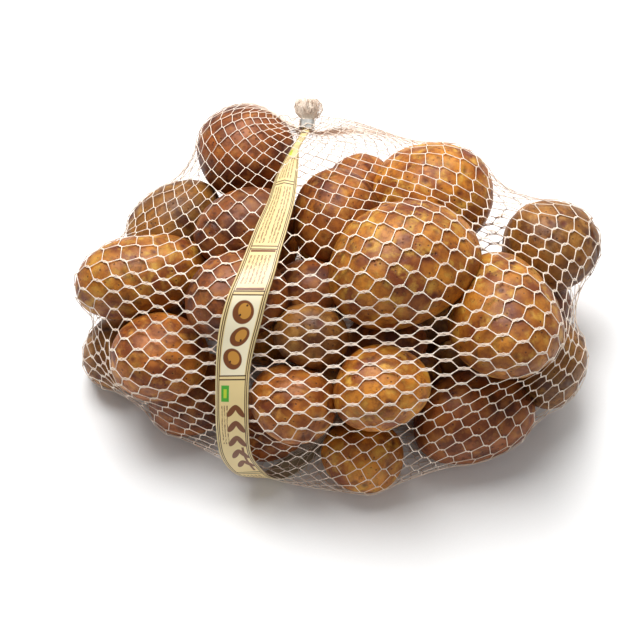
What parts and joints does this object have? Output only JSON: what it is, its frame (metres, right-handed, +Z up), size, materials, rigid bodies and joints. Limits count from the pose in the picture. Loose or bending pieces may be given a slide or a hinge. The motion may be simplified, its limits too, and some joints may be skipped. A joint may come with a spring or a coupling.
{
  "type": "net bag of potatoes",
  "caption": "Knitted net bag of potatoes lying on its back, clipped shut at both ends, with a printed film carrying band over its front.",
  "frame": {"origin": "on the floor, under the middle of the bag's outline", "axes": "+X along the bag's length, to the right as it is seen from its lower edge; +Y towards the upper clip; +Z up"},
  "size_m": [0.2836, 0.2072, 0.1281],
  "materials": {
    "net_bag": "matte",
    "label_band": "satin",
    "clip": "satin"
  },
  "bodies": {
    "root": {"net_bag": "net_bag", "label_band": "label_band", "clip_top": "clip", "clip_bottom": "clip"}
  },
  "joints": []
}
